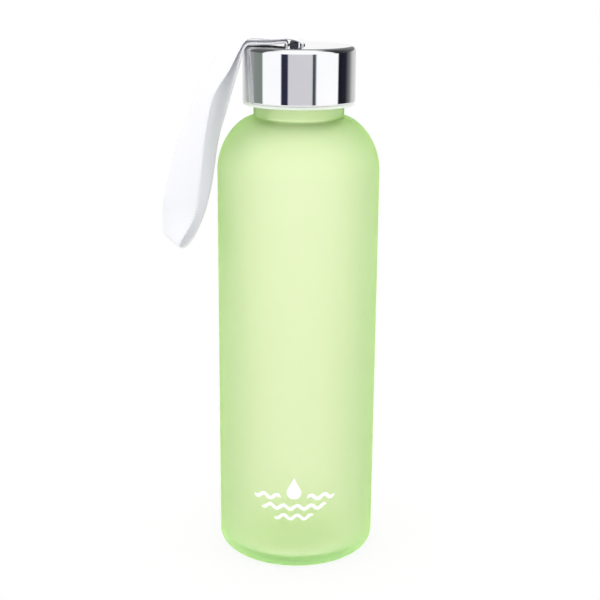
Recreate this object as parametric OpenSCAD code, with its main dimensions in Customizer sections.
// Glass water bottle with a polished screw cap and a flat webbing carrying loop.
// Millimetres, +Z up, origin at the centre of the base on the bottle's axis.

/* [Bottle] */
// Outer diameter of the body
body_d = 65; // [64:0.5:66]
// Height of the closed bottle, from the foot to the top of the cap
total_h = 210; // [205:1:220]
// Radius of the outer corner at the foot
foot_corner_r = 5; // [3:0.5:8]
// Glass thickness in the body wall
glass_wall = 2.2; // [1.5:0.1:3]
// Glass thickness under the drink
floor_t = 4.5; // [3:0.5:8]
// Height of the hollow under the base
push_up = 1.5; // [0.5:0.5:3]
// Height of the round shoulder
shoulder_h = 21.2; // [18:0.2:24]
// Fullness of the shoulder's curve
shoulder_power = 1.8; // [1.6:0.1:2.4]
// Outer diameter of the neck
neck_d = 36; // [35:0.5:37]
// Diameter of the mouth
mouth_d = 30.4; // [28:0.2:31]

/* [Cap] */
// Outer diameter of the metal cap
cap_d = 44.6; // [44:0.2:46]
// Height of the metal cap
cap_h = 21.4; // [20:0.1:22]
// Sheet thickness of the metal cap
cap_t = 0.6; // [0.4:0.1:0.8]
// Radius between the cap's top and its wall
cap_edge_r = 2; // [0.8:0.1:2.4]
// Height of the liner's rim that shows under the metal cap
liner_rim_h = 1.3; // [0.8:0.1:2]

/* [Thread] */
// Rise of the single-start thread in one turn
lead = 4; // [3.5:0.5:5]
// Turns of thread on the neck and in the liner
thread_turns = 1.5; // [1:0.25:1.75]

/* [Webbing] */
// Width of the webbing
web_w = 15; // [12:0.5:16]
// Thickness of the webbing
web_t = 1; // [0.8:0.1:1.2]

/* [Hidden] */
$fn = 120;
gap = 0.05;       // between pieces of the cap that touch
split_gap = 0.15; // half of the gap between two stretches of the webbing

// levels, from the cap's top down
cap_bottom = total_h - cap_h;
channel_top = total_h - cap_t;
channel_h = 4;
disc_top = channel_top - channel_h;
disc_t = 1.5;
seal_t = 1.5;
seal_top = disc_top - disc_t - gap;
rim_z = seal_top - seal_t - gap;
liner_bottom = cap_bottom - gap - liner_rim_h;
neck_h = 19.6; // from the top of the shoulder to the rim
shoulder_top = rim_z - neck_h;
shoulder_z = shoulder_top - shoulder_h;

// radii
body_r = body_d / 2;
neck_r = neck_d / 2;
mouth_r = mouth_d / 2;
cap_r = cap_d / 2;
shoulder_depth = 15.74; // how far the shoulder's curve runs inwards
liner_r = cap_r - cap_t - gap;
liner_bore_r = neck_r + 1.6;

// thread: the ridges on the glass and in the liner pass each other with clearance
ridge_h = 1.2;
ridge_root_w = 2.2;
ridge_crest_w = 1.1;
glass_thread_z = shoulder_top + 9;
liner_thread_z = glass_thread_z - lead / 2 + 0.3;

// slots in the cap's top: [centre x] of the right one and the left one
slot_x = [1.2, -4.8];
slot_w = 2;
slot_l = web_w + 1;
// low bar on the land between the slots, that the webbing is looped over
bar_x = -2;
bar_w = 3.4;
bar_h = 1.3;
bar_corner_r = 0.6;

// Route of the webbing's middle line, from the right slot, over the cap's left edge, down to the
// fold and back up to the left slot: [x, y, height over the cap's top, turn, tilt]. Turn swings the
// width from straight back (0) towards the left; tilt lifts its far edge.
route = [
    [1.2, 0, 0.3, 0, 0], [1.1, 0, 1.2, 0, 0], [-1.2, 0, 2.6, 0, 2], [-5, 0, 3.8, 0, 6],
    [-11.5, -0.5, 4.1, 6, 12], [-17.2, -1.5, 4, 16, 7], [-22.7, -2.4, 3.15, 26, 1],
    [-26.9, -2.8, -1.5, 31, 0], [-30.6, -2.9, -8.4, 32, 0], [-35.3, -3.2, -15.5, 32, 0],
    [-38, -3.5, -21.5, 33, 0], [-40, -4.5, -29, 37, 0], [-42.5, -5.5, -38, 48, 0],
    [-45, -6, -50, 62, 0], [-47, -6, -62, 72, 0], [-48.7, -5.5, -67.5, 60, 0],
    [-50.7, -4.5, -73, 42, 0], [-51.4, -3, -77, 27, 0], [-48.9, -1.6, -79.9, 20, 0],
    [-45.6, -0.4, -77, 22, 0], [-42.9, 1.5, -71, 27, 0], [-40.9, 3, -64, 33, 0],
    [-39, 4, -53, 39, 0], [-37.5, 4, -42, 40, 0], [-35.6, 3.5, -34, 36, 0], [-32.8, 2.4, -26, 32, 0],
    [-29.6, 0.6, -16.5, 28, 0], [-26.9, -1.2, -8.4, 26, 0], [-25.2, -2.2, -3.6, 27, 0],
    [-21.9, -2.2, 0.7, 18, -1], [-17.5, -1.5, 1, 10, 0], [-12, -0.6, 0.95, 4, 0],
    [-7.5, 0, 1.4, 0, 0], [-5.2, 0, 1.4, 0, 0], [-4.8, 0, 0.3, 0, 0]
];
route_steps = 3;           // rings for each stretch between two points of the route
bridge_points = 5;         // points of the route at each end that lie over the cap

function arc(cx, cz, r, from, to, steps) =
    [for (i = [0:steps]) let (a = from + (to - from) * i / steps) [cx + r * cos(a), cz + r * sin(a)]];

// A superellipse quarter from the wall at radius r to the neck, in by depth and up by height
function shoulder(r, depth, z, height, power, end_r, steps) =
    let (last = acos(max(0, 1 - (r - end_r) / depth)))
    [for (i = [0:steps]) let (k = cos(last * i / steps))
        [r - depth * (1 - k), z + height * pow(1 - pow(k, power), 1 / power)]];

function dome(height, r, z, steps) =
    [for (i = [0:steps]) let (x = r * i / steps) [x, z + height * (1 - pow(x / r, 2))]];

function reversed(list) = [for (i = [len(list) - 1:-1:0]) list[i]];
function unit(v) = v / norm(v);

function catmull(p, q, r, s, t) =
    0.5 * (2 * q + (r - p) * t + (2 * p - 5 * q + 4 * r - s) * t * t + (3 * q - p - 3 * r + s) * t * t * t);

// The stretch of the route from point a to point b, as a smooth curve
function stretch(a, b) = [
    for (i = [a:b - 1], k = [0:route_steps - 1])
        let (p = route[max(i - 1, 0)], s = route[min(i + 2, len(route) - 1)])
        catmull(p, route[i], route[i + 1], s, k / route_steps),
    route[b]
];

function place(p) = [p[0], p[1], total_h + p[2]];
function across(p, along) =
    let (w = [-sin(p[3]) * cos(p[4]), cos(p[3]) * cos(p[4]), sin(p[4])])
    unit(w - (w * along) * along);

// Four corners of the webbing's section at each point of a line
function web_rings(line, width, thickness) = [
    for (i = [0:len(line) - 1])
        let (along = unit(place(line[min(i + 1, len(line) - 1)]) - place(line[max(i - 1, 0)])),
             w = across(line[i], along), n = cross(along, w))
        [for (c = [[-1, -1], [-1, 1], [1, 1], [1, -1]])
            place(line[i]) + c[0] * w * width / 2 + c[1] * n * thickness / 2]
];

// The line with both its ends drawn in by half of the gap between two stretches
function toward(p, q) = p + (q - p) * split_gap / norm(place(q) - place(p));
function trimmed(line) = let (n = len(line) - 1)
    [for (i = [0:n]) i == 0 ? toward(line[0], line[1]) : i == n ? toward(line[n], line[n - 1]) : line[i]];

// Joins rings of equal length into one closed solid
module sweep(rings) {
    n = len(rings[0]);
    last = len(rings) - 1;
    sides = [for (i = [0:last - 1], k = [0:n - 1]) let (a = i * n + k, b = i * n + (k + 1) % n)
        each [[a, b, a + n], [b, b + n, a + n]]];
    polyhedron(points = [for (r = rings, p = r) p],
               faces = concat([[for (k = [n - 1:-1:0]) k]], sides, [[for (k = [0:n - 1]) last * n + k]]),
               convexity = 6);
}

// A helical ridge that stands out from root_r by height (inwards if negative), buried a little at its root
module ridge(root_r, height, z) {
    steps = 48;
    bury = height > 0 ? -0.4 : 0.4;
    count = ceil(thread_turns * steps);
    rings = [for (i = [0:count])
        let (a = 360 * i / steps, rise = max(0.12, min(1, min(i, count - i) / 4)),
             c = z + lead * i / steps, low = ridge_root_w / 2,
             high = low - (ridge_root_w - ridge_crest_w) / 2 * rise,
             section = [[bury, -low], [bury, low], [height * rise, high], [height * rise, -high]])
        [for (p = height > 0 ? reversed(section) : section)
            let (r = root_r + p[0]) [r * cos(a), r * sin(a), c + p[1]]]];
    sweep(rings);
}

module slot_shape(x) {
    translate([x, 0]) {
        square([slot_w, slot_l - slot_w], center = true);
        for (s = [-1, 1]) translate([0, s * (slot_l - slot_w) / 2]) circle(d = slot_w, $fn = 32);
    }
}

module glass_bottle() {
    inner_r = body_r - glass_wall;
    fillet = 0.6;
    lip_r = 0.8;
    inner_corner = 3.5;
    foot_r = body_r - foot_corner_r;
    push_up_r = foot_r - 6;
    outline = concat(
        dome(push_up, push_up_r, 0, 8),
        arc(foot_r, foot_corner_r, foot_corner_r, -90, 0, 10),
        shoulder(body_r, shoulder_depth, shoulder_z, shoulder_h, shoulder_power, neck_r + fillet, 26),
        reversed(arc(neck_r + fillet, shoulder_top + fillet - 0.15, fillet, 180, 250, 4)),
        arc(neck_r - lip_r, rim_z - lip_r, lip_r, 0, 90, 5),
        arc(mouth_r + lip_r, rim_z - lip_r, lip_r, 90, 180, 5),
        reversed(shoulder(inner_r, inner_r - mouth_r + 0.6, shoulder_z - 0.8, shoulder_h - 1.4,
                          shoulder_power, mouth_r, 20)),
        reversed(arc(inner_r - inner_corner, floor_t + inner_corner, inner_corner, -90, 0, 7)),
        reversed(dome(push_up, push_up_r, floor_t, 8)));
    color([0.75, 0.9, 0.6, 0.8]) union() {
        rotate_extrude($fn = 180) polygon(outline);
        ridge(neck_r, ridge_h, glass_thread_z);
    }
}

module cap_shell() {
    top = cap_edge_r;
    color([0.85, 0.86, 0.88]) union() {
        difference() {
            rotate_extrude() polygon(concat(
                [[0, channel_top], [0, total_h]],
                reversed(arc(cap_r - top, total_h - top, top, 0, 90, 8)),
                [[cap_r, cap_bottom], [cap_r - cap_t, cap_bottom]],
                arc(cap_r - top, total_h - top, top - cap_t, 0, 90, 5)));
            translate([0, 0, channel_top - 1]) linear_extrude(cap_t + 2) for (x = slot_x) slot_shape(x);
        }
        translate([bar_x, 0, total_h - cap_t / 2]) linear_extrude(cap_t / 2 + bar_h)
            offset(r = bar_corner_r, $fn = 16)
                square([bar_w - 2 * bar_corner_r, web_w - 2 * bar_corner_r], center = true);
    }
}

module cap_liner() {
    corner = cap_edge_r;
    recess_r = liner_r - corner - 0.5;
    color([0.93, 0.95, 0.9]) union() {
        rotate_extrude() polygon([
            [0, disc_top - disc_t], [0, disc_top], [recess_r, disc_top], [recess_r, channel_top - gap],
            [liner_r - corner, channel_top - gap], [liner_r, channel_top - gap - corner],
            [liner_r, cap_bottom - gap], [cap_r - 0.3, cap_bottom - gap], [cap_r - 0.3, liner_bottom + 0.4],
            [cap_r - 0.7, liner_bottom], [liner_bore_r, liner_bottom], [liner_bore_r, disc_top - disc_t]]);
        ridge(liner_bore_r, -ridge_h, liner_thread_z);
    }
}

module seal_ring() {
    color([0.96, 0.96, 0.95]) rotate_extrude() translate([mouth_r - 0.6, seal_top - seal_t])
        square([neck_r - mouth_r + 1, seal_t]);
}

// The lapped ends of the webbing under the bar between the slots, with a leg up through each slot
module strap_anchor() {
    lap_t = 2 * web_t;
    lap_z = channel_top - gap - lap_t;
    leg_top = total_h + route[0][2] - split_gap;
    left = slot_x[1] - web_t / 2;
    right = slot_x[0] + web_t / 2;
    color([0.97, 0.97, 0.98]) rotate([90, 0, 0]) linear_extrude(web_w, center = true) union() {
        translate([left, lap_z]) square([right - left, lap_t]);
        for (x = slot_x) translate([x - web_t / 2, lap_z]) square([web_t, leg_top - lap_z]);
    }
}

// Rows of thread bars under the lap
module strap_stitching() {
    thread_d = 0.4;
    bar_l = 1.6;
    rows = 3;
    z = channel_top - gap - 2 * web_t - thread_d / 2;
    color([0.9, 0.9, 0.9]) for (row = [0:rows - 1], y = [-6:2:6])
        translate([slot_x[1] + 1.4 + row * 1.6, y, z]) rotate([90, 0, 0])
            cylinder(d = thread_d, h = bar_l, center = true, $fn = 16);
}

module strap_bridge() {
    color([0.97, 0.97, 0.98]) {
        sweep(web_rings(trimmed(stretch(0, bridge_points)), web_w, web_t));
        sweep(web_rings(trimmed(stretch(len(route) - 1 - bridge_points, len(route) - 1)), web_w, web_t));
    }
}

module strap_loop() {
    color([0.97, 0.97, 0.98])
        sweep(web_rings(trimmed(stretch(bridge_points, len(route) - 1 - bridge_points)), web_w, web_t));
}

glass_bottle();
cap_shell();
cap_liner();
seal_ring();
strap_anchor();
strap_stitching();
strap_bridge();
strap_loop();
